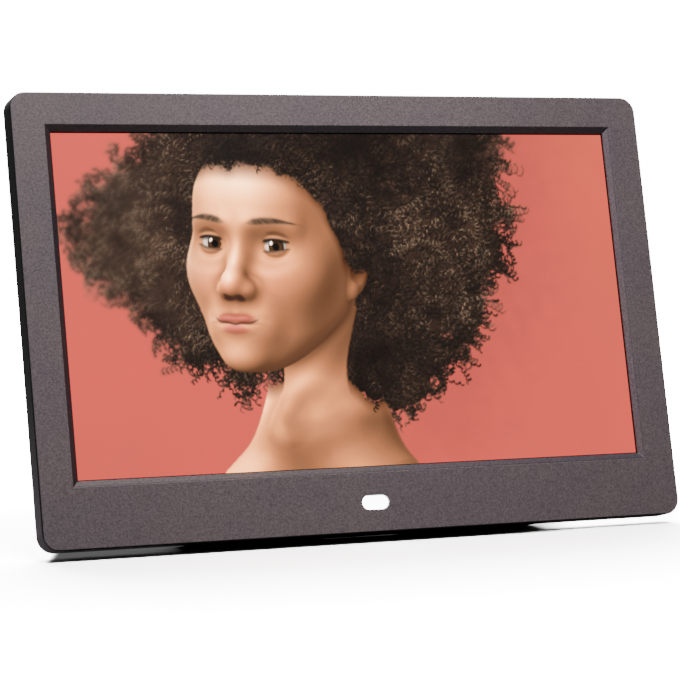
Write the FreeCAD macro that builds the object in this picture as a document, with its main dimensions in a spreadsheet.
import FreeCAD, Part
import math
import os
import re
import Sketcher
from types import SimpleNamespace

# Digital photo frame, leaning back on two feet and a fold-out leg.
#
# Every piece is modelled in the casing's own axes: x runs to the right across the front,
# y is depth behind the front face, z climbs the front face from its bottom edge.
# The stand placement then leans the whole frame back and sets it on the table.

V = FreeCAD.Vector
ACROSS = V(1, 0, 0)
BACKWARD = V(0, 1, 0)
UPWARD = V(0, 0, 1)

SIZES = {
    # stance
    "lean_angle": 13.7,
    # front bezel
    "case_corner": 6.0,
    "front_round": 0.6,
    "shell_wall": 2.0,
    "front_thick": 2.2,
    "window_width": 228.0,
    "window_height": 130.0,
    "window_low": 21.7,
    "top_border": 11.7,
    "chamfer_wide": 2.4,
    "chamfer_deep": 1.6,
    "rib_long": 30.0,
    "rib_thick": 1.0,
    "rib_deep": 3.0,
    # screen
    "panel_cover_side": 3.5,
    "panel_cover_tall": 6.5,
    "gasket_thick": 0.3,
    "gasket_wide": 3.0,
    "glass_thick": 1.2,
    "glass_bevel": 0.2,
    "backlight_thick": 2.3,
    "backlight_bevel": 0.3,
    "layer_gap": 0.2,
    "tray_sheet": 0.5,
    "tray_corner": 1.5,
    "tray_swage_wide": 40.0,
    "tray_swage_tall": 100.0,
    "tray_swage_deep": 0.2,
    "panel_gap": 0.3,
    "driver_width": 120.0,
    "driver_tall": 14.0,
    "driver_thick": 0.8,
    "driver_rise": 3.0,
    # remote control window and receiver
    "eye_panel_gap": 0.56,
    "eye_width": 10.3,
    "eye_tall": 4.8,
    "eye_gap": 0.2,
    "eye_recess": 0.15,
    "eye_bevel": 0.3,
    "eye_flange": 1.4,
    "eye_flange_thick": 0.8,
    "receiver_side": 6.0,
    "receiver_thick": 2.3,
    "receiver_lens": 2.0,
    "receiver_lens_sunk": 1.2,
    "eye_board_width": 25.0,
    "eye_board_tall": 7.6,
    "eye_board_thick": 1.0,
    "eye_screw_x": 9.0,
    "eye_boss_radius": 2.0,
    # rear cover
    "cover_inset": 0.8,
    "cover_thick": 2.0,
    "cover_bevel": 1.2,
    "lip_gap": 0.2,
    "lip_thick": 1.2,
    "lip_deep": 1.4,
    "hump_half": 75.0,
    "hump_top": 114.0,
    "hump_space": 1.6,
    "hump_wall": 2.0,
    "side_draft": 1.5,
    "top_draft": 4.0,
    "hump_corner": 8.0,
    "hump_round": 1.6,
    "ledge_tall": 5.0,
    "ledge_wide": 2.0,
    "facet_run": 6.0,
    # fasteners
    "boss_panel_gap": 0.5,
    "boss_wall_gap": 1.0,
    "boss_radius": 2.6,
    "screw_radius": 1.0,
    "screw_gap": 0.02,
    "case_head_radius": 1.9,
    "case_head_thick": 1.3,
    "case_screw_drop": 11.4,
    "case_screw_low": 8.0,
    "case_screw_in": 14.0,
    "seat_sunk": 1.0,
    "seat_floor": 1.4,
    "boss_gap": 0.1,
    "boss_root": 0.5,
    "pilot_floor": 0.2,
    "hole_gap": 0.2,
    "case_hole_gap": 0.3,
    "cover_boss_radius": 3.0,
    "head_gap": 0.3,
    "small_head_radius": 1.8,
    "small_head_thick": 0.7,
    "small_screw_long": 4.0,
    "cover_gap": 0.2,
    "head_bevel": 0.3,
    "clamp_spread": 35.0,
    "clamp_sheet": 0.6,
    "clamp_long": 8.4,
    "clamp_wide": 9.0,
    "clamp_corner": 1.2,
    "clamp_edge": 2.2,
    # main board and what stands on it
    "board_gap": 1.0,
    "board_thick": 1.6,
    "board_side_gap": 3.3,
    "board_edge": 0.4,
    "board_corner": 1.0,
    "board_screw_x": 30.5,
    "board_screw_low_in": 4.5,
    "board_screw_high_in": 2.5,
    "chip_side": 14.0,
    "chip_rise": 32.0,
    "chip_thick": 1.2,
    "chip_bevel": 0.3,
    "memory_x": 33.0,
    "memory_rise": 21.0,
    "memory_pitch": 18.0,
    "memory_wide": 18.0,
    "memory_tall": 9.0,
    "memory_thick": 1.0,
    "cell_radius": 6.25,
    "cell_rise": 10.0,
    "cell_thick": 2.0,
    # sockets at the housing's sides, each with its height up the face, then its own size
    "overshoot": 1.0,
    "mouth_gap": 0.2,
    "right_space": 2.0,
    "left_space": 2.6,
    "port_gap": 0.2,
    "port_cut": 6.0,
    "socket_floor": 1.5,
    "usb_height": 49.0,
    "usb_long": 14.0,
    "usb_tall": 13.1,
    "usb_deep": 5.8,
    "usb_wall": 0.35,
    "usb_tongue": 1.2,
    "mini_long": 9.0,
    "mini_tall": 7.7,
    "mini_deep": 4.0,
    "mini_wall": 0.3,
    "mini_tongue": 0.8,
    "card_long": 27.0,
    "card_tall": 27.6,
    "card_deep": 2.9,
    "card_wall": 0.3,
    "card_mouth": 25.0,
    "dc_height": 48.0,
    "dc_long": 13.0,
    "dc_tall": 9.0,
    "dc_deep": 6.8,
    "dc_bore": 2.75,
    "dc_bore_deep": 9.5,
    "dc_post": 1.0,
    "dc_hole": 3.4,
    "audio_long": 12.0,
    "audio_tall": 6.0,
    "audio_deep": 5.0,
    "audio_bore": 1.8,
    "audio_bore_deep": 11.0,
    "audio_hole": 2.7,
    # slide switch
    "switch_travel": 2.4,
    "switch_side": 3.6,
    "switch_tall": 9.2,
    "track_wide": 1.8,
    "track_deep": 1.4,
    "track_gap": 0.3,
    "stem_wide": 1.5,
    "stem_tall": 1.8,
    "stem_end_gap": 0.2,
    "slot_wide": 2.4,
    "slot_tall": 6.4,
    "knob_deep": 3.4,
    "knob_tall": 5.6,
    "knob_thick": 0.9,
    "knob_sunk": 0.2,
    "knob_gap": 0.5,
    "recess_depth": 1.4,
    "groove_pitch": 1.4,
    "groove_wide": 0.6,
    "groove_deep": 0.4,
    # key pad
    "key_bay_gap": 4.0,
    "key_post_gap": 1.5,
    "key_pitch": 9.0,
    "key_size": 6.2,
    "key_gap": 0.2,
    "key_proud": 0.6,
    "key_flange": 0.8,
    "key_flange_thick": 0.6,
    "key_corner": 1.2,
    "key_bevel": 0.4,
    "key_board_edge": 3.4,
    "tact_side": 6.0,
    "tact_thick": 1.6,
    "plunger_radius": 1.6,
    "plunger_gap": 0.05,
    "plunger_stand": 0.4,
    "plunger_floor": 0.5,
    "plunger_bevel": 0.1,
    # sound
    "speaker_x": 48.0,
    "speaker_gap": 1.5,
    "speaker_radius": 14.0,
    "speaker_depth": 5.0,
    "speaker_ear": 17.0,
    "speaker_rim": 2.0,
    "speaker_rim_thick": 1.2,
    "speaker_rim_land": 0.2,
    "magnet_radius": 8.0,
    "magnet_thick": 2.0,
    "cone_radius": 5.0,
    "cone_sunk": 2.2,
    "ear_wide": 5.0,
    "ear_screw_bite": 1.2,
    "foam_wide": 1.6,
    "sound_foam": 0.8,
    "grille_slot": 1.6,
    "grille_pitch": 4.0,
    "grille_long": 18.0,
    "grille_count": 6,
    "slot_cut": 2.5,
    # vents and wall hanging
    "vent_x": 46.0,
    "vent_low": 60.0,
    "vent_long": 30.0,
    "vent_slot": 1.6,
    "vent_pitch": 4.0,
    "vent_count": 7,
    "keyhole_x": 56.0,
    "keyhole_drop": 17.0,
    "keyhole_radius": 4.2,
    "keyhole_slot": 2.1,
    "keyhole_rise": 7.0,
    # flat cables
    "ribbon_thick": 0.25,
    "ribbon_land": 6.0,
    "display_ribbon_wide": 24.0,
    "key_ribbon_wide": 9.0,
    # leg and its hinge
    "hinge_sunk": 0.2,
    "hinge_drop": 13.0,
    "pin_radius": 1.25,
    "pin_bite": 3.0,
    "pin_gap": 0.05,
    "pin_end_gap": 0.1,
    "barrel_radius": 2.4,
    "leg_top_width": 43.4,
    "leg_tip_width": 30.0,
    "leg_front": 0.8,
    "leg_tip_gap": 3.5,
    "leg_web": 1.2,
    "leg_rim": 3.0,
    "leg_wells": 3,
    "leg_shoulder": 2.0,
    "leg_corner": 4.0,
    "leg_round": 0.6,
    "pin_bevel": 0.3,
    "pad_width": 26.0,
    "pad_tall": 3.0,
    "bay_gap": 0.3,
    "bay_floor_gap": 0.8,
    "bay_wall": 2.6,
    "bay_side_wall": 4.0,
    "bay_top_gap": 4.0,
    "bay_top_wall": 2.4,
    "stop_gap": 0.05,
    "stop_clear": 0.4,
    "stop_start": 1.0,
    "scoop_radius": 7.0,
    "scoop_height": 26.0,
    "scoop_step": 0.4,
    # feet
    "foot_x": 55.0,
    "foot_wide": 18.0,
    "foot_margin": 0.8,
    "foot_thick": 0.5,
    "foot_corner": 1.2,
}

doc = FreeCAD.newDocument("photo_frame")
sheet = doc.addObject("Spreadsheet::Sheet", "dims")
for row, (alias, number) in enumerate(SIZES.items(), start=1):
    sheet.set(f"A{row}", alias)
    sheet.set(f"B{row}", str(number))
    sheet.setAlias(f"B{row}", alias)
doc.recompute()

# the same numbers, read back from the sheet, for the pieces shaped in code
dim = SimpleNamespace(**{alias: float(getattr(sheet, alias)) for alias in SIZES})


# ---------------------------------------------------------------- helpers

def formula(text):
    """The expression with each size's name pointed at its cell in the sheet."""
    return re.sub(r"[a-z_]+", lambda word: f"dims.{word[0]}" if word[0] in SIZES else word[0], text)


def bind(item, path, text):
    item.setExpression(path, formula(text))


def value(text):
    """The number that an expression gives now."""
    return float(sheet.evalExpression(formula(text)))


def new_body(label):
    body = doc.addObject("PartDesign::Body", label)
    body.Label = label
    return body


def sketch_on(body, role, name, offset="0"):
    """Sketch on one of the body's origin planes, moved along the plane's normal."""
    sketch = body.newObject("Sketcher::SketchObject", name)
    plane = next(part for part in body.Origin.OriginFeatures if part.Role == role)
    sketch.AttachmentSupport = [(plane, "")]
    sketch.MapMode = "FlatFace"
    bind(sketch, "AttachmentOffset.Base.z", offset)
    return sketch


def sketch_at(body, name, depth="0"):
    """Sketch parallel to the front face, at a depth behind it."""
    return sketch_on(body, "XZ_Plane", name, f"-({depth})")


def tie(sketch, kind, first, second, text):
    """A distance constraint from the origin or between two points, bound to the sheet."""
    number = value(text)
    index = sketch.addConstraint(Sketcher.Constraint(kind, *first, *second, number))
    name = f"{kind}{index}"
    sketch.renameConstraint(index, name)
    bind(sketch, f"Constraints.{name}", text)


def tie_radius(sketch, geometry, text):
    index = sketch.addConstraint(Sketcher.Constraint("Radius", geometry, value(text)))
    name = f"Radius{index}"
    sketch.renameConstraint(index, name)
    bind(sketch, f"Constraints.{name}", text)


ORIGIN = (-1, 1)


def polygon(sketch, corners):
    """Closed outline of straight lines, each corner placed from the origin."""
    first = sketch.GeometryCount
    points = [V(value(x), value(y), 0) for x, y in corners]
    count = len(points)
    for index in range(count):
        sketch.addGeometry(Part.LineSegment(points[index], points[(index + 1) % count]))
    for index in range(count):
        following = first + (index + 1) % count
        sketch.addConstraint(Sketcher.Constraint("Coincident", first + index, 2, following, 1))
    for index, (x, y) in enumerate(corners):
        tie(sketch, "DistanceX", ORIGIN, (first + index, 1), x)
        tie(sketch, "DistanceY", ORIGIN, (first + index, 1), y)


def rectangle(sketch, left, right, low, high):
    """Upright rectangle held by its two opposite corners."""
    first = sketch.GeometryCount
    ends = [(left, low), (right, low), (right, high), (left, high)]
    points = [V(value(x), value(y), 0) for x, y in ends]
    for index in range(4):
        sketch.addGeometry(Part.LineSegment(points[index], points[(index + 1) % 4]))
    for index in range(4):
        following = first + (index + 1) % 4
        sketch.addConstraint(Sketcher.Constraint("Coincident", first + index, 2, following, 1))
    for index in (0, 2):
        sketch.addConstraint(Sketcher.Constraint("Horizontal", first + index))
        sketch.addConstraint(Sketcher.Constraint("Vertical", first + index + 1))
    tie(sketch, "DistanceX", ORIGIN, (first, 1), left)
    tie(sketch, "DistanceY", ORIGIN, (first, 1), low)
    tie(sketch, "DistanceX", ORIGIN, (first + 2, 1), right)
    tie(sketch, "DistanceY", ORIGIN, (first + 2, 1), high)


def rounded(sketch, left, right, low, high, radius):
    """Upright rectangle with round corners: a line and an arc for each side in turn."""
    turn = value(radius)
    x_low, x_high, y_low, y_high = value(left), value(right), value(low), value(high)
    corners = [V(x_high - turn, y_low + turn, 0), V(x_high - turn, y_high - turn, 0),
               V(x_low + turn, y_high - turn, 0), V(x_low + turn, y_low + turn, 0)]
    outward = [V(0, -1, 0), V(1, 0, 0), V(0, 1, 0), V(-1, 0, 0)]
    quarter = math.pi / 2
    first = sketch.GeometryCount
    for index, centre in enumerate(corners):
        start = corners[index - 1] + outward[index] * turn
        sketch.addGeometry(Part.LineSegment(start, centre + outward[index] * turn))
        ring = Part.Circle(centre, UPWARD, turn)
        sketch.addGeometry(Part.ArcOfCircle(ring, (index - 1) * quarter, index * quarter))
    for index in range(8):
        following = first + (index + 1) % 8
        sketch.addConstraint(Sketcher.Constraint("Tangent", first + index, 2, following, 1))
    for index in range(0, 8, 4):
        sketch.addConstraint(Sketcher.Constraint("Horizontal", first + index))
        sketch.addConstraint(Sketcher.Constraint("Vertical", first + index + 2))
    for index in range(1, 8, 2):
        tie_radius(sketch, first + index, radius)
    tie(sketch, "DistanceY", ORIGIN, (first, 1), low)
    tie(sketch, "DistanceX", ORIGIN, (first + 2, 1), right)
    tie(sketch, "DistanceY", ORIGIN, (first + 4, 1), high)
    tie(sketch, "DistanceX", ORIGIN, (first + 6, 1), left)


def centred(sketch, x, y, wide, tall):
    """Upright rectangle about a centre."""
    rectangle(sketch, f"{x} - ({wide}) / 2", f"{x} + ({wide}) / 2",
              f"{y} - ({tall}) / 2", f"{y} + ({tall}) / 2")


def circle(sketch, x, y, radius):
    centre = V(value(x), value(y), 0)
    index = sketch.addGeometry(Part.Circle(centre, UPWARD, value(radius)))
    tie(sketch, "DistanceX", ORIGIN, (index, 3), x)
    tie(sketch, "DistanceY", ORIGIN, (index, 3), y)
    tie_radius(sketch, index, radius)


def obround(sketch, x, y, wide, tall):
    """Level slot outline with half-round ends, about a centre."""
    radius = value(f"({tall}) / 2")
    reach = value(f"({wide}) / 2") - radius
    middle = V(value(x), value(y), 0)
    right = Part.Circle(middle + V(reach, 0, 0), UPWARD, radius)
    left = Part.Circle(middle - V(reach, 0, 0), UPWARD, radius)
    quarter = math.pi / 2
    first = sketch.GeometryCount
    sketch.addGeometry(Part.ArcOfCircle(right, -quarter, quarter))
    sketch.addGeometry(Part.LineSegment(middle + V(reach, radius, 0), middle + V(-reach, radius, 0)))
    sketch.addGeometry(Part.ArcOfCircle(left, quarter, 3 * quarter))
    sketch.addGeometry(Part.LineSegment(middle + V(-reach, -radius, 0), middle + V(reach, -radius, 0)))
    for index in range(4):
        following = first + (index + 1) % 4
        sketch.addConstraint(Sketcher.Constraint("Tangent", first + index, 2, following, 1))
    sketch.addConstraint(Sketcher.Constraint("Horizontal", first + 1))
    tie_radius(sketch, first, f"({tall}) / 2")
    for arc, side in ((first, "+"), (first + 2, "-")):
        tie(sketch, "DistanceX", ORIGIN, (arc, 3), f"{x} {side} (({wide}) - ({tall})) / 2")
    tie(sketch, "DistanceY", ORIGIN, (first, 3), y)


def feature(body, kind, name, profile, length, reverse=False, symmetric=False):
    item = body.newObject(f"PartDesign::{kind}", name)
    item.Profile = profile
    item.Reversed = reverse
    if symmetric:
        item.SideType = "Symmetric"
    bind(item, "Length", length)
    body.Tip = item
    doc.recompute()
    return item


def check_change(body, before, sign, name):
    """A feature that points the wrong way changes nothing and shows no error."""
    if (body.Shape.Volume - before) * sign <= 0:
        raise RuntimeError(f"{name} did not change {body.Label} as it should")


def pad(body, profile, length, forward=False, symmetric=False):
    """Adds material towards the back, or forward, or both ways."""
    before = body.Shape.Volume if body.Tip else 0.0
    item = feature(body, "Pad", f"{profile.Name}_pad", profile, length, not forward, symmetric)
    check_change(body, before, 1, item.Name)
    return item


def pocket(body, profile, length, forward=False, symmetric=False):
    """Cuts towards the back, or forward, or both ways."""
    before = body.Shape.Volume
    item = feature(body, "Pocket", f"{profile.Name}_cut", profile, length, forward, symmetric)
    check_change(body, before, -1, item.Name)
    return item


def loft(body, kind, near, far, sign):
    """Straight-sided loft between two outlines, added or cut."""
    before = body.Shape.Volume if body.Tip else 0.0
    item = body.newObject(f"PartDesign::{kind}", f"{near.Name}_loft")
    item.Profile = near
    item.Sections = [far]
    item.Ruled = True
    body.Tip = item
    doc.recompute()
    check_change(body, before, sign, item.Name)
    return item


def dress(body, kind, name, size, wanted):
    """Fillet or Chamfer on the edges whose middle and direction pass a test."""
    base = body.Tip
    names = []
    for index, edge in enumerate(base.Shape.Edges, start=1):
        middle = edge.valueAt((edge.FirstParameter + edge.LastParameter) / 2)
        run = (edge.Vertexes[-1].Point - edge.Vertexes[0].Point)
        if wanted(middle, run):
            names.append(f"Edge{index}")
    item = body.newObject(f"PartDesign::{kind}", name)
    item.Base = (base, names)
    bind(item, "Radius" if kind == "Fillet" else "Size", size)
    body.Tip = item
    doc.recompute()
    if "Invalid" in item.State or not names:
        raise RuntimeError(f"{name} found {len(names)} edges: {item.getStatusString()}")
    return item


def near(first, second, within=0.01):
    return abs(first - second) < within


def runs_back(run):
    """True for a straight edge that runs only in depth."""
    return abs(run.y) > 0.1 and abs(run.x) < 0.01 and abs(run.z) < 0.01


def repeat(body, cut, profile, axis, pitch, count):
    pattern = body.newObject("PartDesign::LinearPattern", f"{cut.Name}_row")
    pattern.Originals = [cut]
    pattern.Direction = (profile, [axis])
    bind(pattern, "Length", f"({pitch}) * ({count} - 1)")
    bind(pattern, "Occurrences", count)
    body.Tip = pattern
    doc.recompute()
    return pattern


def box(name, x, y, z):
    """Part::Box between pairs of bounds, each bound an expression."""
    item = doc.addObject("Part::Box", name)
    for axis, prop, (low, high) in (("x", "Length", x), ("y", "Width", y), ("z", "Height", z)):
        bind(item, f"Placement.Base.{axis}", low)
        bind(item, prop, f"({high}) - ({low})")
    return item


TURNS = {
    "x": FreeCAD.Rotation(UPWARD, ACROSS),
    "y": FreeCAD.Rotation(UPWARD, BACKWARD),
    "z": FreeCAD.Rotation(),
}


def rod(name, axis, radius, start, length):
    """Part::Cylinder whose axis starts at a point and runs along x, y or z."""
    item = doc.addObject("Part::Cylinder", name)
    item.Placement = FreeCAD.Placement(V(), TURNS[axis])
    for letter, text in zip("xyz", start):
        bind(item, f"Placement.Base.{letter}", text)
    bind(item, "Radius", radius)
    bind(item, "Height", length)
    return item


def cut(name, base, tool):
    item = doc.addObject("Part::Cut", name)
    item.Base = base
    item.Tool = tool
    return item


def join(name, pieces):
    item = doc.addObject("Part::MultiFuse", name)
    item.Shapes = pieces
    return item


def bevelled(name, base, size, wanted):
    """Part::Chamfer on the edges of a part whose middle passes a test."""
    doc.recompute()
    item = doc.addObject("Part::Chamfer", name)
    item.Base = base
    edges = []
    for index, edge in enumerate(base.Shape.Edges, start=1):
        middle = edge.valueAt((edge.FirstParameter + edge.LastParameter) / 2)
        if wanted(middle):
            edges.append((index, value(size), value(size)))
    item.Edges = edges
    return item


def copies(label, master, spots):
    """One node of separate solids: a master piece, about its own origin, at several places."""
    doc.recompute()
    placed = []
    for spot in spots:
        shape = master.Shape.copy()
        shape.Placement = spot
        placed.append(shape)
    group = doc.addObject("Part::Feature", label)
    group.Shape = Part.makeCompound(placed)
    return group


def shaped(label, shape):
    item = doc.addObject("Part::Feature", label)
    item.Shape = shape
    return item


# ---------------------------------------------------------------- shared places

def both_sides(x, z):
    return [(f"-({x})", z), (x, z)]


# Stack from the front face back: each line starts where the one before it ends.
GLASS_FRONT = "front_thick + gasket_thick"
TRAY_BACK = f"{GLASS_FRONT} + glass_thick + backlight_thick + tray_sheet"
SHELL = f"({TRAY_BACK} + clamp_sheet + small_head_thick + cover_gap)"
COVER_BACK = f"{SHELL} + cover_thick"
BOARD_FRONT = f"{SHELL} + board_gap"
BOARD_BACK = f"{BOARD_FRONT} + board_thick"
REAR_INSIDE = f"{BOARD_BACK} + usb_deep + hump_space"
HUMP = f"({REAR_INSIDE} + hump_wall)"
HINGE_DEPTH = f"({HUMP} - hinge_sunk - barrel_radius)"
BAY_FLOOR = f"({HINGE_DEPTH} - leg_front - bay_floor_gap)"
STOP_DEPTH = f"({HINGE_DEPTH} - barrel_radius - stop_clear)"
FACET_START = f"({HUMP} - facet_run)"
SPEAKER_FRONT = f"{REAR_INSIDE} - sound_foam"
KEY_FLANGE_FRONT = f"{REAR_INSIDE} - key_gap - key_flange_thick"
KEY_BOARD_BACK = f"{KEY_FLANGE_FRONT} - plunger_stand - tact_thick"
KEY_BOARD_FRONT = f"{KEY_BOARD_BACK} - board_thick"
CHIP_BACK = f"{BOARD_BACK} + chip_thick"
CELL_BACK = f"{BOARD_BACK} + cell_thick"
SWITCH_MIDDLE = f"{BOARD_BACK} + switch_side / 2"
DRIVER_BACK = f"{TRAY_BACK} + driver_thick"
EYE_BOARD_FRONT = f"{SHELL} - cover_gap - small_head_thick - eye_board_thick"
SEAT = f"({SHELL} - seat_sunk)"
CASE_BOSS_TOP = f"{SEAT} - seat_floor"

# Half widths, from the window out.
PANEL_HALF = "(window_width / 2 + panel_cover_side)"
SIDE_BOSS = f"{PANEL_HALF} + boss_panel_gap + boss_radius"
CASE_HALF = f"({SIDE_BOSS} + boss_radius + boss_wall_gap + shell_wall)"
MOUTH = "(hump_half - side_draft - hump_wall - mouth_gap)"
BOARD_HALF = f"({MOUTH} - board_side_gap)"
BAY_HALF = "(leg_top_width / 2 + bay_gap + bay_side_wall)"
PIN_HALF = f"({BAY_HALF} - bay_side_wall + pin_bite)"

# Heights up the face.
CASE_HEIGHT = "(window_low + window_height + top_border)"
PANEL_MIDDLE = "window_low + window_height / 2"
PANEL_LOW = "window_low - panel_cover_tall"
PANEL_HEIGHT = "(window_height + 2 * panel_cover_tall)"
EYE_HEIGHT = f"({PANEL_LOW} - eye_panel_gap - eye_flange - eye_tall / 2)"
DRIVER_LOW = f"{PANEL_LOW} + driver_rise"
HINGE_HEIGHT = "(hump_top - hinge_drop)"
KEYHOLE_HEIGHT = "hump_top - keyhole_drop"
PORT_HEIGHTS = {"usb": "usb_height", "dc": "dc_height"}
for name, below, space in (("mini", "usb", "right_space"), ("card", "mini", "right_space"),
                           ("audio", "dc", "left_space"), ("switch", "audio", "left_space")):
    PORT_HEIGHTS[name] = f"({PORT_HEIGHTS[below]} + {below}_tall / 2 + {space} + {name}_tall / 2)"
SWITCH_HEIGHT = PORT_HEIGHTS["switch"]
BOARD_LOW = "(usb_height - usb_tall / 2 - board_edge)"
BOARD_HIGH = f"({PORT_HEIGHTS['card']} + card_tall / 2 + board_edge)"
BOARD_SCREW_HIGH = f"{BOARD_HIGH} - board_screw_high_in"
SPEAKER_HEIGHT = "(hump_wall + speaker_gap + speaker_ear + ear_wide / 2)"

CASE_SCREWS = (both_sides(SIDE_BOSS, f"{CASE_HEIGHT} - case_screw_drop")
               + both_sides(SIDE_BOSS, PANEL_MIDDLE)
               + both_sides("window_width / 2 - case_screw_in", "case_screw_low"))
CLAMPS = (both_sides(SIDE_BOSS, f"{PANEL_MIDDLE} - clamp_spread")
          + both_sides(SIDE_BOSS, f"{PANEL_MIDDLE} + clamp_spread"))
EYE_SCREWS = both_sides("eye_screw_x", EYE_HEIGHT)
BOARD_SCREWS = (both_sides("board_screw_x", f"{BOARD_LOW} + board_screw_low_in")
                + both_sides("board_screw_x", BOARD_SCREW_HIGH))

KEYS = {
    "up": (0, 1),
    "down": (0, -1),
    "left": (1, 0),
    "right": (-1, 0),
    "enter": (0, 0),
    "menu": (1, -2),
    "exit": (-1, -2),
}


KEY_BOARD_HALF = "(key_pitch + tact_side / 2 + board_corner)"
KEY_COLUMN = f"({BAY_HALF} + key_bay_gap + {KEY_BOARD_HALF})"
KEY_BOARD_HIGH = f"({BOARD_SCREW_HIGH} - boss_radius - key_post_gap)"
KEY_MIDDLE = f"({KEY_BOARD_HIGH} - key_board_edge - key_pitch)"
KEY_BOARD_LOW = f"{KEY_MIDDLE} - key_pitch * 2.5"


def key_place(column, line):
    return f"-{KEY_COLUMN} - key_pitch * ({column})", f"{KEY_MIDDLE} + key_pitch * ({line})"


KEY_SCREWS = [key_place(1, 1), key_place(-1, -1)]


# ---------------------------------------------------------------- front

def front_bezel():
    """Front moulding: a plate with a bevelled window, side walls and screw bosses behind."""
    body = new_body("front_bezel")
    outline = sketch_at(body, "bezel_outline")
    rounded(outline, f"-{CASE_HALF}", CASE_HALF, "0", CASE_HEIGHT, "case_corner")
    pad(body, outline, SHELL)
    dress(body, "Fillet", "bezel_front_round", "front_round", lambda middle, run: near(middle.y, 0))

    hollow = sketch_at(body, "bezel_hollow", SHELL)
    rounded(hollow, f"-{CASE_HALF} + shell_wall", f"{CASE_HALF} - shell_wall",
            "shell_wall", f"{CASE_HEIGHT} - shell_wall", "case_corner - shell_wall")
    pocket(body, hollow, f"{SHELL} - front_thick", forward=True)

    window = sketch_at(body, "window_throat")
    centred(window, "0", PANEL_MIDDLE, "window_width - 2 * chamfer_wide",
            "window_height - 2 * chamfer_wide")
    pocket(body, window, "front_thick")
    mouth = sketch_at(body, "window_mouth")
    centred(mouth, "0", PANEL_MIDDLE, "window_width", "window_height")
    throat = sketch_at(body, "window_bevel_end", "chamfer_deep")
    centred(throat, "0", PANEL_MIDDLE, "window_width - 2 * chamfer_wide",
            "window_height - 2 * chamfer_wide")
    loft(body, "SubtractiveLoft", mouth, throat, -1)

    eye = sketch_at(body, "eye_hole")
    obround(eye, "0", EYE_HEIGHT, "eye_width + 2 * eye_gap", "eye_tall + 2 * eye_gap")
    pocket(body, eye, "front_thick")

    bosses = sketch_at(body, "case_bosses", "front_thick")
    for x, z in CASE_SCREWS:
        circle(bosses, x, z, "boss_radius")
    pad(body, bosses, f"{CASE_BOSS_TOP} - boss_gap - front_thick")
    posts = sketch_at(body, "clamp_bosses", "front_thick")
    for x, z in CLAMPS:
        circle(posts, x, z, "boss_radius")
    pad(body, posts, f"{TRAY_BACK} - front_thick")
    eye_posts = sketch_at(body, "eye_bosses", "front_thick")
    for x, z in EYE_SCREWS:
        circle(eye_posts, x, z, "eye_boss_radius")
    pad(body, eye_posts, f"{EYE_BOARD_FRONT} - front_thick")

    ribs = sketch_at(body, "panel_ribs", "front_thick")
    for side in ("-", ""):
        for edge in ("-", "+"):
            z = f"{PANEL_MIDDLE} {edge} ({PANEL_HEIGHT} / 2 + panel_gap + rib_thick / 2)"
            centred(ribs, f"{side}window_width / 3", z, "rib_long", "rib_thick")
    pad(body, ribs, "rib_deep")

    pilots = sketch_at(body, "pilot_holes", TRAY_BACK)
    for x, z in CASE_SCREWS + CLAMPS + EYE_SCREWS:
        circle(pilots, x, z, "screw_radius + screw_gap")
    pocket(body, pilots, f"{TRAY_BACK} - front_thick - pilot_floor", forward=True)
    return body


def ir_window():
    """Milky window for the remote control: a lens through the bezel on a flange behind it."""
    body = new_body("ir_window")
    flange = sketch_at(body, "eye_flange_outline", "front_thick")
    obround(flange, "0", EYE_HEIGHT, "eye_width + 2 * eye_flange", "eye_tall + 2 * eye_flange")
    pad(body, flange, "eye_flange_thick")
    lens = sketch_at(body, "eye_lens_outline", "front_thick")
    obround(lens, "0", EYE_HEIGHT, "eye_width", "eye_tall")
    pad(body, lens, "front_thick - eye_recess", forward=True)
    dress(body, "Chamfer", "eye_lens_edge", "eye_bevel",
          lambda middle, run: near(middle.y, value("eye_recess")))
    return body


def ir_receiver():
    """Infrared receiver: a small square block with a round lens that looks through the window."""
    side = "receiver_side / 2"
    block = box("receiver_block", (f"-({side})", side),
                (f"{EYE_BOARD_FRONT} - receiver_thick", EYE_BOARD_FRONT),
                (f"{EYE_HEIGHT} - {side}", f"{EYE_HEIGHT} + {side}"))
    lens = doc.addObject("Part::Sphere", "receiver_lens")
    bind(lens, "Radius", "receiver_lens")
    lens.Angle1 = 0
    lens.Placement = FreeCAD.Placement(V(), FreeCAD.Rotation(UPWARD, V(0, -1, 0)))
    bind(lens, "Placement.Base.y", f"{EYE_BOARD_FRONT} - receiver_thick + receiver_lens_sunk")
    bind(lens, "Placement.Base.z", EYE_HEIGHT)
    return join("ir_receiver", [block, lens])


def circuit_board(label, near_face, thick, bounds, holes):
    """A rectangular board with screw holes."""
    body = new_body(label)
    outline = sketch_at(body, f"{label}_outline", near_face)
    rectangle(outline, *bounds)
    for x, z in holes:
        circle(outline, x, z, "screw_radius + hole_gap")
    pad(body, outline, thick)
    dress(body, "Fillet", f"{label}_corners", "board_corner", lambda middle, run: runs_back(run))
    return body


def ir_board():
    return circuit_board("ir_board", EYE_BOARD_FRONT, "eye_board_thick",
                         ("-eye_board_width / 2", "eye_board_width / 2",
                          f"{EYE_HEIGHT} - eye_board_tall / 2", f"{EYE_HEIGHT} + eye_board_tall / 2"),
                         EYE_SCREWS)


# ---------------------------------------------------------------- screen

def panel_box(name, near_face, far_face, shrink):
    """A slab of the screen module, each side drawn in from the module's outline."""
    return box(name, (f"-{PANEL_HALF} + {shrink}", f"{PANEL_HALF} - ({shrink})"),
               (near_face, far_face),
               (f"{PANEL_LOW} + {shrink}", f"{PANEL_LOW} + {PANEL_HEIGHT} - ({shrink})"))


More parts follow.
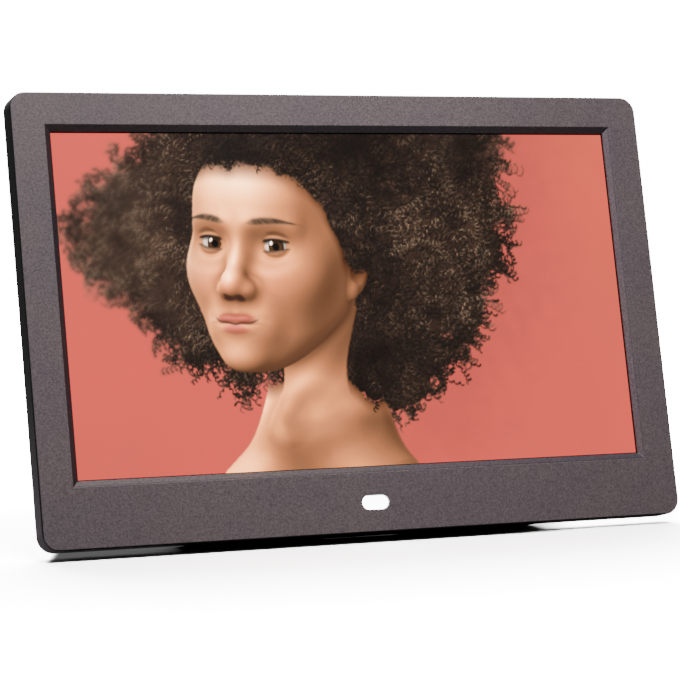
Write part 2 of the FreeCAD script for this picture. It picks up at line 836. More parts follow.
def lcd_gasket():
    """Thin foam ring between the bezel and the glass."""
    body = new_body("lcd_gasket")
    outer = sketch_at(body, "gasket_outline", "front_thick")
    centred(outer, "0", PANEL_MIDDLE, "window_width + gasket_wide", "window_height + gasket_wide")
    centred(outer, "0", PANEL_MIDDLE, "window_width - gasket_wide", "window_height - gasket_wide")
    pad(body, outer, "gasket_thick")
    return body


def lcd_glass():
    slab = panel_box("glass_slab", GLASS_FRONT, f"{GLASS_FRONT} + glass_thick",
                     "tray_sheet + layer_gap")
    front = value(GLASS_FRONT)
    return bevelled("lcd_glass", slab, "glass_bevel", lambda middle: near(middle.y, front))


def backlight_unit():
    slab = panel_box("light_slab", f"{GLASS_FRONT} + glass_thick",
                     f"{GLASS_FRONT} + glass_thick + backlight_thick", "tray_sheet + layer_gap")
    side = value(f"{PANEL_HALF} - tray_sheet - layer_gap")
    return bevelled("backlight_unit", slab, "backlight_bevel", lambda middle: near(abs(middle.x), side))


def lcd_tray():
    """Folded steel tray that holds the screen's layers together from behind."""
    body = new_body("lcd_tray")
    outer = sketch_at(body, "tray_outline", f"{GLASS_FRONT} + layer_gap")
    centred(outer, "0", PANEL_MIDDLE, f"2 * {PANEL_HALF}", PANEL_HEIGHT)
    pad(body, outer, "glass_thick + backlight_thick + tray_sheet - layer_gap")
    dress(body, "Fillet", "tray_corners", "tray_corner", lambda middle, run: runs_back(run))
    inner = sketch_at(body, "tray_hollow", GLASS_FRONT)
    centred(inner, "0", PANEL_MIDDLE, f"2 * ({PANEL_HALF} - tray_sheet)",
            f"{PANEL_HEIGHT} - 2 * tray_sheet")
    pocket(body, inner, "glass_thick + backlight_thick")
    swage = sketch_at(body, "tray_swages", TRAY_BACK)
    for side in ("-", ""):
        centred(swage, f"{side}window_width / 3", PANEL_MIDDLE, "tray_swage_wide", "tray_swage_tall")
    pocket(body, swage, "tray_swage_deep", forward=True)
    return body


def panel_board():
    """Narrow board on the back of the screen that drives its rows and columns."""
    return circuit_board("panel_board", TRAY_BACK, "driver_thick",
                         ("-driver_width / 2", "driver_width / 2",
                          DRIVER_LOW, f"{DRIVER_LOW} + driver_tall"), [])


def panel_clamps():
    """Four small sheet clamps that hold the screen against the bezel."""
    body = new_body("clamp_master")
    outline = sketch_at(body, "clamp_outline")
    rectangle(outline, "clamp_edge - clamp_long", "clamp_edge", "-clamp_wide / 2", "clamp_wide / 2")
    circle(outline, "0", "0", "screw_radius + hole_gap")
    pad(body, outline, "clamp_sheet")
    dress(body, "Fillet", "clamp_corners", "clamp_corner", lambda middle, run: runs_back(run))
    spots = []
    for x, z in CLAMPS:
        turn = FreeCAD.Rotation(BACKWARD, 180 if value(x) < 0 else 0)
        spots.append(FreeCAD.Placement(V(value(x), value(TRAY_BACK), value(z)), turn))
    return copies("panel_clamps", body, spots)


# ---------------------------------------------------------------- rear cover

def hump_outline(body, name, depth, draft, inset, low):
    """Outline of the raised housing at one depth, drawn in by its draft and by a wall."""
    outline = sketch_at(body, name, depth)
    rounded(outline, f"-(hump_half - side_draft * {draft} - {inset})",
            f"hump_half - side_draft * {draft} - {inset}",
            low, f"hump_top - top_draft * {draft} - {inset}", f"hump_corner - {inset}")
    return outline


def rear_cover():
    """Back moulding: a flat cover with a lip, and a raised housing that carries the leg."""
    body = new_body("rear_cover")
    cover_shell(body)
    cover_leg_bay(body)
    cover_bosses(body)
    cover_ports(body)
    cover_openings(body)
    return body


def cover_shell(body):
    outline = sketch_at(body, "cover_outline", SHELL)
    rounded(outline, f"-{CASE_HALF} + cover_inset", f"{CASE_HALF} - cover_inset",
            "cover_inset", f"{CASE_HEIGHT} - cover_inset", "case_corner - cover_inset")
    pad(body, outline, "cover_thick")
    back = value(COVER_BACK)
    dress(body, "Chamfer", "cover_edge_bevel", "cover_bevel",
          lambda middle, run: near(middle.y, back))

    lip = sketch_at(body, "cover_lip", SHELL)
    lip_out = "shell_wall + lip_gap"
    for edge in (lip_out, f"{lip_out} + lip_thick"):
        rounded(lip, f"-{CASE_HALF} + {edge}", f"{CASE_HALF} - ({edge})",
                edge, f"{CASE_HEIGHT} - ({edge})", f"case_corner - ({edge})")
    pad(body, lip, "lip_deep", forward=True)

    base = hump_outline(body, "hump_base", SHELL, "0", "0", "0")
    top = hump_outline(body, "hump_crown", HUMP, "1", "0", "0")
    loft(body, "AdditiveLoft", base, top, 1)
    back = value(HUMP)
    dress(body, "Fillet", "hump_edges", "hump_round",
          lambda middle, run: near(middle.y, back) and middle.z > 0.1)

    throat = sketch_at(body, "hump_throat", SHELL)
    throat_half = "hump_half - hump_wall - ledge_wide"
    rectangle(throat, f"-({throat_half})", throat_half,
              "ledge_tall", "hump_top - hump_wall - ledge_wide - top_draft / 2")
    pocket(body, throat, "cover_thick")
    inner_near = hump_outline(body, "hump_inside", COVER_BACK, "0", "hump_wall", "hump_wall")
    inner_far = hump_outline(body, "hump_inside_end", REAR_INSIDE, "1", "hump_wall", "hump_wall")
    loft(body, "SubtractiveLoft", inner_near, inner_far, -1)


def cover_leg_bay(body):
    """Bay in the housing's back that the leg folds into, with the hinge at its top."""
    bay_top = f"{HINGE_HEIGHT} + barrel_radius + bay_top_gap"
    block = sketch_at(body, "bay_block", f"{BAY_FLOOR} - bay_wall")
    rectangle(block, f"-{BAY_HALF}", BAY_HALF, "hump_wall / 2", f"{bay_top} + bay_top_wall")
    pad(body, block, f"{REAR_INSIDE} + boss_root - ({BAY_FLOOR} - bay_wall)")

    top_half = "leg_top_width / 2 + bay_gap"
    tip_half = "leg_tip_width / 2 + bay_gap"
    shoulder = f"{HINGE_HEIGHT} - barrel_radius - leg_shoulder"
    bay = sketch_at(body, "leg_bay", HUMP)
    polygon(bay, [(f"-({tip_half})", "-overshoot"), (tip_half, "-overshoot"),
                  (top_half, shoulder), (top_half, bay_top),
                  (f"-({top_half})", bay_top), (f"-({top_half})", shoulder)])
    pocket(body, bay, f"{HUMP} - {BAY_FLOOR}", forward=True)
    seat = sketch_at(body, "hinge_seat", HUMP)
    rectangle(seat, f"-({top_half})", top_half, f"{HINGE_HEIGHT} - barrel_radius - stop_start", bay_top)
    pocket(body, seat, f"{HUMP} - {STOP_DEPTH}", forward=True)

    scoops = sketch_at(body, "finger_scoops", HUMP)
    for side in ("-", ""):
        circle(scoops, f"{side}(leg_tip_width / 2)", "scoop_height", "scoop_radius")
    pocket(body, scoops, f"{HUMP} - {BAY_FLOOR} - scoop_step", forward=True)

    bore = sketch_on(body, "YZ_Plane", "pin_bore")
    circle(bore, HINGE_DEPTH, HINGE_HEIGHT, "pin_radius + screw_gap")
    pocket(body, bore, f"2 * ({PIN_HALF} + pin_end_gap)", symmetric=True)

    heel = sketch_on(body, "YZ_Plane", "heel_facet")
    rise = "(facet_run + overshoot) * tan(lean_angle * 1deg)"
    beyond = f"{HUMP} + overshoot"
    polygon(heel, [(FACET_START, "0"), (beyond, "-overshoot"), (beyond, rise)])
    pocket(body, heel, "2 * (hump_half + overshoot)", symmetric=True)


def cover_bosses(body):
    """Screw posts, with deep counterbores for the case screws."""
    posts = sketch_at(body, "cover_posts", CASE_BOSS_TOP)
    for x, z in CASE_SCREWS:
        circle(posts, x, z, "cover_boss_radius")
    pad(body, posts, f"{SHELL} + boss_root - ({CASE_BOSS_TOP})")
    board_posts = sketch_at(body, "board_posts", BOARD_BACK)
    for x, z in BOARD_SCREWS:
        circle(board_posts, x, z, "boss_radius")
    pad(body, board_posts, f"{REAR_INSIDE} + boss_root - ({BOARD_BACK})")
    key_posts = sketch_at(body, "key_posts", KEY_BOARD_BACK)
    for x, z in KEY_SCREWS:
        circle(key_posts, x, z, "boss_radius")
    pad(body, key_posts, f"{REAR_INSIDE} + boss_root - ({KEY_BOARD_BACK})")
    ear_posts = sketch_at(body, "ear_posts", SPEAKER_FRONT)
    for x, z in speaker_ears():
        circle(ear_posts, x, z, "boss_radius")
    pad(body, ear_posts, "sound_foam + boss_root")

    bores = sketch_at(body, "counterbores", HUMP)
    for x, z in CASE_SCREWS:
        circle(bores, x, z, "case_head_radius + head_gap")
    pocket(body, bores, f"{HUMP} - {SEAT}", forward=True)
    holes = sketch_at(body, "case_screw_holes", HUMP)
    for x, z in CASE_SCREWS:
        circle(holes, x, z, "screw_radius + case_hole_gap")
    pocket(body, holes, f"{HUMP} - ({CASE_BOSS_TOP}) + overshoot", forward=True)
    pilots = sketch_at(body, "cover_pilots", BOARD_BACK)
    for x, z in BOARD_SCREWS:
        circle(pilots, x, z, "screw_radius + screw_gap")
    pocket(body, pilots, "small_screw_long - board_thick + pilot_floor")
    key_pilots = sketch_at(body, "key_pilots", KEY_BOARD_BACK)
    for x, z in KEY_SCREWS:
        circle(key_pilots, x, z, "screw_radius + screw_gap")
    pocket(body, key_pilots, "small_screw_long - board_thick + pilot_floor")
    ear_pilots = sketch_at(body, "ear_pilots", SPEAKER_FRONT)
    for x, z in speaker_ears():
        circle(ear_pilots, x, z, "screw_radius + screw_gap")
    pocket(body, ear_pilots, "sound_foam + ear_screw_bite + pilot_floor")


def side_cut(body, name, side, windows, reach):
    """Openings through one side wall of the housing, each a centre and a size in depth and height."""
    openings = sketch_on(body, "YZ_Plane", name, f"{side}(hump_half + overshoot)")
    for depth, height, deep, tall in windows:
        centred(openings, depth, height, deep, tall)
    pocket(body, openings, reach, forward=(side == "-"))


def cover_ports(body):
    """Openings for the card, plugs and power switch in the housing's sides."""
    side_cut(body, "right_ports", "", [
        (f"{BOARD_BACK} + usb_deep / 2", PORT_HEIGHTS["usb"],
         "usb_deep + 2 * port_gap", "usb_tall + 2 * port_gap"),
        (f"{BOARD_BACK} + mini_deep / 2", PORT_HEIGHTS["mini"],
         "mini_deep + 2 * port_gap", "mini_tall + 2 * port_gap"),
        (f"{BOARD_BACK} + card_deep / 2", PORT_HEIGHTS["card"], "card_deep", "card_mouth"),
    ], "port_cut")
    side_cut(body, "switch_slot", "-", [
        (SWITCH_MIDDLE, SWITCH_HEIGHT, "slot_wide", "slot_tall"),
    ], "port_cut")
    side_cut(body, "switch_recess", "-", [
        (SWITCH_MIDDLE, SWITCH_HEIGHT,
         "knob_deep + 2 * knob_gap", "knob_tall + switch_travel + 3 * knob_gap"),
    ], "overshoot + recess_depth")
    rounds = sketch_on(body, "YZ_Plane", "round_ports", "-(hump_half + overshoot)")
    for name in ("dc", "audio"):
        circle(rounds, f"{BOARD_BACK} + {name}_deep / 2", PORT_HEIGHTS[name], f"{name}_hole")
    pocket(body, rounds, "port_cut", forward=True)


def cover_openings(body):
    """Key holes in the key pad, speaker grilles, vents and the two wall-hanging keyholes."""
    pads = sketch_at(body, "key_holes", HUMP)
    for column, line in KEYS.values():
        x, z = key_place(column, line)
        centred(pads, x, z, "key_size + 2 * key_gap", "key_size + 2 * key_gap")
    pocket(body, pads, "slot_cut", forward=True)

    slot = sketch_at(body, "grille_slots", HUMP)
    lowest = f"{SPEAKER_HEIGHT} - grille_pitch * (grille_count - 1) / 2"
    centred(slot, "speaker_x", lowest, "grille_long", "grille_slot")
    centred(slot, "-speaker_x", lowest, "grille_long", "grille_slot")
    grille = pocket(body, slot, "slot_cut", forward=True)
    repeat(body, grille, slot, "V_Axis", "grille_pitch", "grille_count")

    vent = sketch_at(body, "vent_slot_outline", HUMP)
    centred(vent, "vent_x", "vent_low", "vent_long", "vent_slot")
    vent_cut = pocket(body, vent, "slot_cut", forward=True)
    repeat(body, vent_cut, vent, "V_Axis", "vent_pitch", "vent_count")

    entries = sketch_at(body, "keyhole_entries", HUMP)
    for x, z in both_sides("keyhole_x", KEYHOLE_HEIGHT):
        circle(entries, x, z, "keyhole_radius")
    pocket(body, entries, "slot_cut", forward=True)
    necks = sketch_at(body, "keyhole_necks", HUMP)
    for x, z in both_sides("keyhole_x", KEYHOLE_HEIGHT):
        rectangle(necks, f"{x} - keyhole_slot", f"{x} + keyhole_slot", z, f"{z} + keyhole_rise")
    pocket(body, necks, "slot_cut", forward=True)


# ---------------------------------------------------------------- electronics

def main_board():
    return circuit_board("main_board", BOARD_FRONT, "board_thick",
                         (f"-{BOARD_HALF}", BOARD_HALF, BOARD_LOW, BOARD_HIGH), BOARD_SCREWS)


def main_chip():
    half = "chip_side / 2"
    slab = box("chip_slab", (f"-({half})", half), (BOARD_BACK, CHIP_BACK),
               (f"{BOARD_LOW} + chip_rise - {half}", f"{BOARD_LOW} + chip_rise + {half}"))
    back = value(CHIP_BACK)
    return bevelled("main_chip", slab, "chip_bevel", lambda middle: near(middle.y, back))


def memory_chips():
    """Two flat memory packages beside the main chip."""
    slab = box("memory_slab", ("-memory_wide / 2", "memory_wide / 2"), ("0", "memory_thick"),
               ("-memory_tall / 2", "memory_tall / 2"))
    back = dim.memory_thick
    master = bevelled("memory_master", slab, "chip_bevel", lambda middle: near(middle.y, back))
    low = value(f"{BOARD_LOW} + memory_rise")
    spots = [FreeCAD.Placement(V(dim.memory_x, value(BOARD_BACK), z), FreeCAD.Rotation())
             for z in (low, low + dim.memory_pitch)]
    return copies("memory_chips", master, spots)


def clock_cell():
    coin = rod("cell_coin", "y", "cell_radius", ("0", BOARD_BACK, f"{BOARD_LOW} + cell_rise"), "cell_thick")
    back = value(CELL_BACK)
    return bevelled("clock_cell", coin, "chip_bevel", lambda middle: near(middle.y, back))


def socket(name, tongue):
    """Folded metal socket at the right side wall: a can open at its mouth, maybe with a tongue."""
    low = f"{PORT_HEIGHTS[name]} - {name}_tall / 2"
    high = f"{PORT_HEIGHTS[name]} + {name}_tall / 2"
    back = f"{BOARD_BACK} + {name}_deep"
    floor = f"{MOUTH} - {name}_long + socket_floor"
    can = box(f"{name}_can", (f"{MOUTH} - {name}_long", MOUTH), (BOARD_BACK, back), (low, high))
    hollow = box(f"{name}_hollow", (floor, f"{MOUTH} + overshoot"),
                 (f"{BOARD_BACK} + {name}_wall", f"{back} - {name}_wall"),
                 (f"{low} + {name}_wall", f"{high} - {name}_wall"))
    shell = cut(f"{name}_shell", can, hollow)
    if not tongue:
        return shell
    middle = f"{BOARD_BACK} + {name}_deep / 2"
    blade = box(f"{name}_blade", (f"{floor} - overshoot / 2", f"{MOUTH} - overshoot"),
                (f"{middle} - {name}_tongue / 2", f"{middle} + {name}_tongue / 2"),
                (f"{low} + {name}_wall + overshoot", f"{high} - {name}_wall - overshoot"))
    return join(f"{name}_joined", [shell, blade])


def usb_socket():
    item = socket("usb", tongue=True)
    item.Label = "usb_socket"
    return item


def mini_usb_socket():
    item = socket("mini", tongue=True)
    item.Label = "mini_usb_socket"
    return item


def card_socket():
    item = socket("card", tongue=False)
    item.Label = "card_socket"
    return item


def round_socket(name):
    """Moulded block at the left side wall with a round bore."""
    height = PORT_HEIGHTS[name]
    block = box(f"{name}_block", (f"-{MOUTH}", f"-{MOUTH} + {name}_long"),
                (BOARD_BACK, f"{BOARD_BACK} + {name}_deep"),
                (f"{height} - {name}_tall / 2", f"{height} + {name}_tall / 2"))
    start = (f"-{MOUTH} - overshoot", f"{BOARD_BACK} + {name}_deep / 2", height)
    hole = rod(f"{name}_hole_rod", "x", f"{name}_bore", start, f"{name}_bore_deep + overshoot")
    return cut(f"{name}_drilled", block, hole)


def dc_jack():
    """Power inlet: a round socket with a centre post."""
    start = (f"-{MOUTH} + overshoot", f"{BOARD_BACK} + dc_deep / 2", PORT_HEIGHTS["dc"])
    post = rod("dc_post_rod", "x", "dc_post", start, "dc_bore_deep")
    return join("dc_jack", [round_socket("dc"), post])


def audio_jack():
    item = round_socket("audio")
    item.Label = "audio_jack"
    return item


def power_switch():
    """Slide switch housing with a track that its knob's stem runs in."""
    block = box("switch_block", (f"-{MOUTH}", f"-{MOUTH} + switch_side"),
                (BOARD_BACK, f"{BOARD_BACK} + switch_side"),
                (f"{SWITCH_HEIGHT} - switch_tall / 2", f"{SWITCH_HEIGHT} + switch_tall / 2"))
    reach = "(stem_tall + switch_travel) / 2 + track_gap"
    track = box("switch_track", (f"-{MOUTH} - overshoot", f"-{MOUTH} + track_deep"),
                (f"{SWITCH_MIDDLE} - track_wide / 2", f"{SWITCH_MIDDLE} + track_wide / 2"),
                (f"{SWITCH_HEIGHT} - ({reach})", f"{SWITCH_HEIGHT} + {reach}"))
    return cut("power_switch", block, track)


def switch_knob():
    """Knob of the power switch: a stem in the housing and a ribbed grip outside, at its off end."""
    place = f"{SWITCH_HEIGHT} - switch_travel / 2"
    outer = "-hump_half + knob_sunk"
    stem = box("knob_stem", (outer, f"-{MOUTH} + track_deep - stem_end_gap"),
               (f"{SWITCH_MIDDLE} - stem_wide / 2", f"{SWITCH_MIDDLE} + stem_wide / 2"),
               (f"{place} - stem_tall / 2", f"{place} + stem_tall / 2"))
    grip = box("knob_grip", (outer, f"{outer} + knob_thick"),
               (f"{SWITCH_MIDDLE} - knob_deep / 2", f"{SWITCH_MIDDLE} + knob_deep / 2"),
               (f"{place} - knob_tall / 2", f"{place} + knob_tall / 2"))
    knob = join("knob_blank", [stem, grip])
    grooves = []
    for step in (-1, 0, 1):
        middle = f"{place} + ({step}) * groove_pitch"
        grooves.append(box(f"knob_groove_{step + 2}", ("-hump_half - overshoot", f"{outer} + groove_deep"),
                           (f"{SWITCH_MIDDLE} - knob_deep", f"{SWITCH_MIDDLE} + knob_deep"),
                           (f"{middle} - groove_wide / 2", f"{middle} + groove_wide / 2")))
    return cut("switch_knob", knob, join("knob_grooves", grooves))


def key_board():
    """Small board behind the key pad."""
    return circuit_board("key_board", KEY_BOARD_FRONT, "board_thick",
                         (f"-{KEY_COLUMN} - {KEY_BOARD_HALF}", f"-{KEY_COLUMN} + {KEY_BOARD_HALF}",
                          KEY_BOARD_LOW, KEY_BOARD_HIGH), KEY_SCREWS)


def key_switches():
    """Seven tact switch housings, each with a bore for its plunger."""
    block = box("tact_block", ("-tact_side / 2", "tact_side / 2"), ("0", "tact_thick"),
                ("-tact_side / 2", "tact_side / 2"))
    hole = rod("tact_bore", "y", "plunger_radius + plunger_gap", ("0", "-overshoot", "0"),
               "tact_thick + 2 * overshoot")
    master = cut("tact_master", block, hole)
    spots = []
    for column, line in KEYS.values():
        x, z = key_place(column, line)
        spots.append(FreeCAD.Placement(V(value(x), value(KEY_BOARD_BACK), value(z)), FreeCAD.Rotation()))
    return copies("key_switches", master, spots)


def key_plunger(name):
    x, z = key_place(*KEYS[name])
    button = rod(f"{name}_button", "y", "plunger_radius", (x, f"{KEY_BOARD_BACK} + plunger_floor", z),
                 "tact_thick + plunger_stand - plunger_floor")
    back = value(KEY_FLANGE_FRONT)
    return bevelled(f"plunger_{name}", button, "plunger_bevel", lambda middle: near(middle.y, back))


def key_cap(name):
    """Key cap: a flange behind the wall that rests on the plunger, and a cap through the wall."""
    x, z = key_place(*KEYS[name])
    body = new_body(f"key_{name}")
    flange = sketch_at(body, f"{name}_flange", KEY_FLANGE_FRONT)
    centred(flange, x, z, "key_size + 2 * key_flange", "key_size + 2 * key_flange")
    pad(body, flange, "key_flange_thick")
    cap = sketch_at(body, f"{name}_cap", KEY_FLANGE_FRONT)
    centred(cap, x, z, "key_size", "key_size")
    pad(body, cap, f"{HUMP} + key_proud - ({KEY_FLANGE_FRONT})")
    reach = value("key_size / 2")
    middle_x, middle_z = value(x), value(z)
    dress(body, "Fillet", f"{name}_cap_corners", "key_corner",
          lambda middle, run: (runs_back(run) and near(abs(middle.x - middle_x), reach)
                               and near(abs(middle.z - middle_z), reach)))
    face = value(f"{HUMP} + key_proud")
    dress(body, "Chamfer", f"{name}_cap_bevel", "key_bevel", lambda middle, run: near(middle.y, face))
    return body


def speaker_ears():
    return [(x, f"{SPEAKER_HEIGHT} {side} speaker_ear")
            for x in ("-speaker_x", "speaker_x") for side in "-+"]


def speakers():
    """Two round drivers: a ring with ears, a tapered basket and a magnet, cone sunk in front."""
    ring = dim.speaker_radius
    bowl = ring - dim.speaker_rim
    thick = dim.speaker_rim_thick
    deep = dim.speaker_depth
    profile = [(0, dim.cone_sunk), (dim.cone_radius, dim.cone_sunk), (bowl, dim.speaker_rim_land),
               (bowl, 0), (ring, 0), (ring, thick), (bowl + dim.speaker_rim_land, thick),
               (dim.magnet_radius, deep - dim.magnet_thick), (dim.magnet_radius, deep), (0, deep)]
    points = [V(x, -y, 0) for x, y in profile]
    face = Part.Face(Part.makePolygon(points + [points[0]]))
    driver = face.revolve(V(), BACKWARD, 360)
    ear_end = dim.speaker_ear + dim.ear_wide / 2
    ears = Part.makeBox(dim.ear_wide, thick, 2 * ear_end, V(-dim.ear_wide / 2, -thick, -ear_end))
    ears = ears.cut(Part.makeCylinder(bowl + dim.speaker_rim / 2, deep, V(0, -deep / 2, 0), BACKWARD))
    hole = dim.screw_radius + dim.hole_gap
    for side in (-1, 1):
        ears = ears.cut(Part.makeCylinder(hole, deep, V(0, -deep / 2, side * dim.speaker_ear), BACKWARD))
    solid = driver.fuse(ears)
    depth = value(SPEAKER_FRONT)
    placed = []
    for side in (-1, 1):
        shape = solid.copy()
        shape.Placement = FreeCAD.Placement(V(side * dim.speaker_x, depth, value(SPEAKER_HEIGHT)),
                                            FreeCAD.Rotation())
        placed.append(shape)
    return shaped("speakers", Part.makeCompound(placed))


def speaker_gaskets():
    """Foam rings between the speakers and the grilles."""
    outer = doc.addObject("Part::Cylinder", "foam_outer")
    inner = doc.addObject("Part::Cylinder", "foam_inner")
    for ring, radius in ((outer, "speaker_radius"), (inner, "speaker_radius - foam_wide")):
        bind(ring, "Radius", radius)
        bind(ring, "Height", "sound_foam")
        ring.Placement.Rotation = TURNS["y"]
    master = cut("foam_master", outer, inner)
    spots = [FreeCAD.Placement(V(side * dim.speaker_x, value(SPEAKER_FRONT), value(SPEAKER_HEIGHT)),
                               FreeCAD.Rotation()) for side in (-1, 1)]
    return copies("speaker_gaskets", master, spots)


def ribbon(label, wide, x, start, end):
    """Flat cable that rises from one board to another, lying flat on each for a short way.

    Between the two it swings over in two equal arcs. An arc's radius is the square of the whole
    step divided by four times its depth, and it turns by twice the step's slope.
    """
    side = x - wide / 2
    land = dim.ribbon_land
    first = [V(side, start[0], start[1] - land), V(side, *start)]
    last = [V(side, *end), V(side, end[0], end[1] + land)]
    step = last[0] - first[1]
    turn = step.Length ** 2 / (4 * step.y)
    slope = math.atan2(step.y, step.z)
    middle = first[1] + step * 0.5
    swing = V(0, turn * (1 - math.cos(slope)), turn * math.sin(slope))
    bends = [Part.Arc(first[1], first[1] + swing, middle).toShape(),
             Part.Arc(middle, last[0] - swing, last[0]).toShape()]
    near_side = [Part.makeLine(*first)] + bends + [Part.makeLine(*last)]
    thickness = V(0, dim.ribbon_thick, 0)
    far_side = [edge.translated(thickness) for edge in near_side]
    ends = [Part.makeLine(point, point + thickness) for point in (first[0], last[1])]
    outline = Part.Wire(Part.__sortEdges__(near_side + far_side + ends))
    return shaped(label, Part.Face(outline).extrude(V(wide, 0, 0)))


def display_cable():
    start = (value(DRIVER_BACK), value(f"{DRIVER_LOW} + driver_tall"))
    end = (value(BOARD_FRONT) - dim.ribbon_thick, value(BOARD_LOW))
    return ribbon("display_cable", dim.display_ribbon_wide, 0, start, end)


def key_cable():
    low = value(KEY_BOARD_LOW)
    start = (value(BOARD_BACK), low - dim.ribbon_land)
    end = (value(KEY_BOARD_FRONT) - dim.ribbon_thick, low)
    return ribbon("key_cable", dim.key_ribbon_wide, -value(KEY_COLUMN), start, end)


# ---------------------------------------------------------------- fasteners

def screw(name, head_radius, head_thick, long):
    """Pan head screw without its threads, head towards -y, shank along +y from the origin."""
    head = rod(f"{name}_head", "y", head_radius, ("0", f"-({head_thick})", "0"), head_thick)
    shank = rod(f"{name}_shank", "y", "screw_radius", ("0", "0", "0"), long)
    blank = join(f"{name}_blank", [head, shank])
    face = -value(head_thick)
    return bevelled(f"{name}_master", blank, "head_bevel", lambda middle: near(middle.y, face))


def facing(x, depth, z, forward):
    """Place for a screw whose head seat is at a depth, driven forward or backward."""
    turn = FreeCAD.Rotation(UPWARD, 180 if forward else 0)
    return FreeCAD.Placement(V(value(x), value(depth), value(z)), turn)


def case_screws():
    long = f"{SEAT} - front_thick - 3 * pilot_floor"
    master = screw("case_screw", "case_head_radius", "case_head_thick", long)
    return copies("case_screws", master, [facing(x, SEAT, z, True) for x, z in CASE_SCREWS])


def small_screws():
    """The same short screw holds the clamps and every board."""
    master = screw("small_screw", "small_head_radius", "small_head_thick", "small_screw_long")
    spots = [facing(x, f"{TRAY_BACK} + clamp_sheet", z, True) for x, z in CLAMPS]
    spots += [facing(x, f"{EYE_BOARD_FRONT} + eye_board_thick", z, True) for x, z in EYE_SCREWS]
    spots += [facing(x, BOARD_FRONT, z, False) for x, z in BOARD_SCREWS]
    spots += [facing(x, KEY_BOARD_FRONT, z, False) for x, z in KEY_SCREWS]
    return copies("board_screws", master, spots)


def speaker_screws():
    master = screw("ear_screw", "small_head_radius", "small_head_thick",
                   "speaker_rim_thick + sound_foam + ear_screw_bite")
    spots = [facing(x, f"{SPEAKER_FRONT} - speaker_rim_thick", z, False) for x, z in speaker_ears()]
    return copies("speaker_screws", master, spots)


# ---------------------------------------------------------------- leg and feet

# Side view of the stance. The facet of the housing's heel lies level on the feet, which puts the
# front edge this high above the table:
LEAN = math.radians(dim.lean_angle)
FACET = value(FACET_START)
RISE = FACET * math.sin(LEAN) + dim.foot_thick
HINGE = V(0, value(HINGE_DEPTH), value(HINGE_HEIGHT))
HINGE_DROP = HINGE.z * math.cos(LEAN) - HINGE.y * math.sin(LEAN) + RISE
LEG_LENGTH = HINGE.z - dim.leg_tip_gap
# the leg's tip is a half-round pad in the middle of the leg's thickness
TIP_RADIUS = (dim.leg_front + dim.barrel_radius) / 2
TIP_SHIFT = dim.barrel_radius - TIP_RADIUS
# the leg swings back until that pad touches the table
LEG_ANGLE = (math.acos((HINGE_DROP - TIP_RADIUS) / math.hypot(LEG_LENGTH, TIP_SHIFT))
             - math.atan2(TIP_SHIFT, LEG_LENGTH))
OPEN_ANGLE = LEAN + LEG_ANGLE
HINGE_BACK = HINGE.y * math.cos(LEAN) + HINGE.z * math.sin(LEAN)
LEG_REACH = (HINGE_BACK + TIP_SHIFT * math.cos(LEG_ANGLE) + LEG_LENGTH * math.sin(LEG_ANGLE)
             + TIP_RADIUS)
FRONT_REACH = dim.front_round * (math.cos(LEAN) + math.sin(LEAN) - 1)
STAND = FreeCAD.Placement(V(0, -(LEG_REACH + FRONT_REACH) / 2, RISE),
                          FreeCAD.Rotation(ACROSS, -dim.lean_angle))
LEG_PLACE = STAND.multiply(FreeCAD.Placement(HINGE, FreeCAD.Rotation(ACROSS, math.degrees(OPEN_ANGLE))))
# the leg's heel meets the bay's floor when the leg is open
HEEL = ((HINGE.y - value(STOP_DEPTH) - dim.stop_gap - dim.leg_front * math.cos(OPEN_ANGLE))
        / math.sin(OPEN_ANGLE))


def leg():
    """Fold-out leg, drawn about its hinge pin and hanging straight down from it."""
    body = new_body("leg")
    half_top = "leg_top_width / 2"
    half_tip = "leg_tip_width / 2"
    tip = f"-({HINGE_HEIGHT} - leg_tip_gap - pad_tall)"
    shoulder = "-barrel_radius - leg_shoulder"
    outline = sketch_at(body, "leg_outline", "-leg_front")
    polygon(outline, [(f"-({half_tip})", tip), (half_tip, tip),
                      (half_top, shoulder), (half_top, f"{HEEL:.4f}"),
                      (f"-({half_top})", f"{HEEL:.4f}"), (f"-({half_top})", shoulder)])
    pad(body, outline, "leg_front + barrel_radius")
    low = value(tip)
    dress(body, "Fillet", "leg_tip_corners", "leg_corner",
          lambda middle, run: runs_back(run) and near(middle.z, low))
    barrel = sketch_on(body, "YZ_Plane", "leg_barrel")
    circle(barrel, "0", "0", "barrel_radius")
    pad(body, barrel, "leg_top_width", symmetric=True)
    bore = sketch_on(body, "YZ_Plane", "leg_bore")
    circle(bore, "0", "0", "pin_radius + pin_gap")
    pocket(body, bore, "leg_top_width + overshoot", symmetric=True)

    wells = sketch_at(body, "leg_well_outlines", "-leg_front")
    high = "-barrel_radius - leg_rim"
    pitch = f"({tip} + leg_rim - ({high})) / leg_wells"
    slope = f"(leg_top_width - leg_tip_width) / 2 / ({shoulder} - ({tip}))"
    for index in range(int(dim.leg_wells)):
        top = f"{high} + {pitch} * {index} - leg_rim / 4"
        floor = f"{high} + {pitch} * {index + 1} + leg_rim / 4"
        wide_top, wide_floor = [f"{half_top} - leg_rim + ({level} - ({shoulder})) * ({slope})"
                                for level in (top, floor)]
        polygon(wells, [(f"-({wide_floor})", floor), (wide_floor, floor),
                        (wide_top, top), (f"-({wide_top})", top)])
    pocket(body, wells, "leg_front + barrel_radius - leg_web")
    back = value("barrel_radius")
    dress(body, "Fillet", "leg_back_round", "leg_round",
          lambda middle, run: near(middle.y, back) and middle.z < -back)
    return body


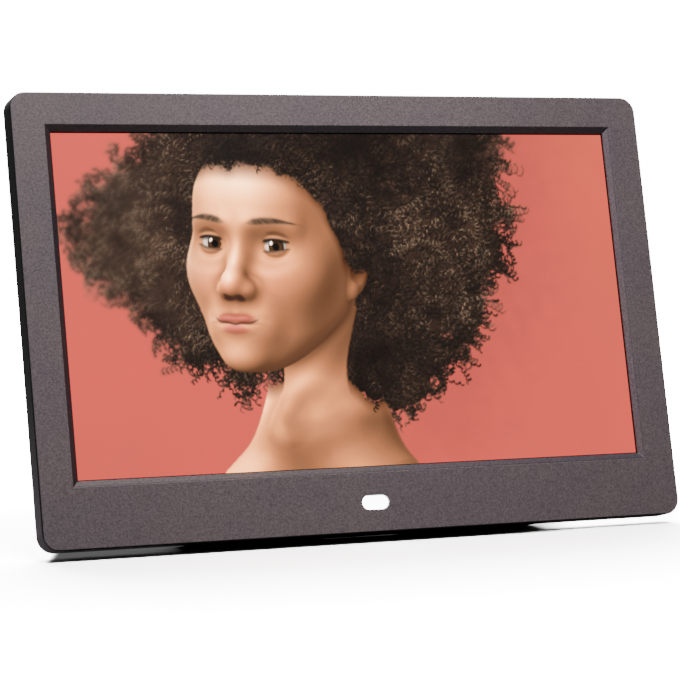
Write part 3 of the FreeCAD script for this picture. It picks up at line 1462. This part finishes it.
def leg_pad():
    """Rubber tip bonded under the leg's end, half-round where it meets the table."""
    low = -LEG_LENGTH
    block = Part.makeBox(dim.pad_width, 2 * TIP_RADIUS, dim.pad_tall,
                         V(-dim.pad_width / 2, TIP_SHIFT - TIP_RADIUS, low))
    nose = Part.makeCylinder(TIP_RADIUS, dim.pad_width, V(-dim.pad_width / 2, TIP_SHIFT, low), ACROSS)
    return shaped("leg_pad", block.fuse(nose).removeSplitter())


def hinge_pin():
    """Steel pin through the housing's bay walls and the leg's barrel."""
    blank = rod("pin_blank", "x", "pin_radius", (f"-{PIN_HALF}", HINGE_DEPTH, HINGE_HEIGHT),
                f"2 * {PIN_HALF}")
    end = value(PIN_HALF)
    return bevelled("hinge_pin", blank, "pin_bevel", lambda middle: near(abs(middle.x), end))


def feet():
    """Two thin rubber pads stuck to the level facet of the housing's heel."""
    body = new_body("foot_master")
    outline = sketch_on(body, "XY_Plane", "foot_outline")
    deep = "(facet_run / cos(lean_angle * 1deg) - 2 * foot_margin)"
    centred(outline, "0", f"{deep} / 2", "foot_wide", deep)
    feature(body, "Pad", "foot_slab", outline, "foot_thick")
    check_change(body, 0.0, 1, "foot_slab")
    dress(body, "Fillet", "foot_corners", "foot_corner",
          lambda middle, run: abs(run.z) > 0.1 and abs(run.x) < 0.01 and abs(run.y) < 0.01)
    start = STAND.multVec(V(0, FACET, 0))
    spots = [FreeCAD.Placement(V(side * dim.foot_x, start.y + dim.foot_margin, 0), FreeCAD.Rotation())
             for side in (-1, 1)]
    return copies("feet", body, spots)


# ---------------------------------------------------------------- assembly

LEANING = [
    front_bezel, ir_window, ir_receiver, ir_board,
    lcd_gasket, lcd_glass, backlight_unit, lcd_tray, panel_board, panel_clamps,
    rear_cover, main_board, main_chip, memory_chips, clock_cell,
    usb_socket, mini_usb_socket, card_socket, dc_jack, audio_jack,
    power_switch, switch_knob, key_board, key_switches,
    speakers, speaker_gaskets, display_cable, key_cable,
    case_screws, small_screws, speaker_screws, hinge_pin,
]

nodes = []
for make in LEANING:
    node = make()
    doc.recompute()
    node.Placement = STAND
    nodes.append(node)
for key in KEYS:
    for make in (key_cap, key_plunger):
        node = make(key)
        doc.recompute()
        node.Placement = STAND
        nodes.append(node)
for make in (leg, leg_pad):
    node = make()
    doc.recompute()
    node.Placement = LEG_PLACE
    nodes.append(node)
nodes.append(feet())
doc.recompute()

for item in doc.Objects:
    if "Invalid" in item.State or "Error" in item.State:
        raise RuntimeError(f"{item.Label} failed: {item.State}")
for node in nodes:
    if node.Shape.isNull() or not node.Shape.isValid():
        raise RuntimeError(f"{node.Label} has no valid shape")

os.makedirs("parts", exist_ok=True)
whole = Part.makeCompound([node.Shape for node in nodes])
bounds = whole.BoundBox
print(f"{len(nodes)} nodes, leg opens {math.degrees(OPEN_ANGLE):.2f} degrees, heel {HEEL:.2f} mm")
print(f"x {bounds.XMin:.3f} {bounds.XMax:.3f}  y {bounds.YMin:.3f} {bounds.YMax:.3f}"
      f"  z {bounds.ZMin:.3f} {bounds.ZMax:.3f}")
for node in nodes:
    node.Shape.exportStep(f"parts/{node.Label}.step")
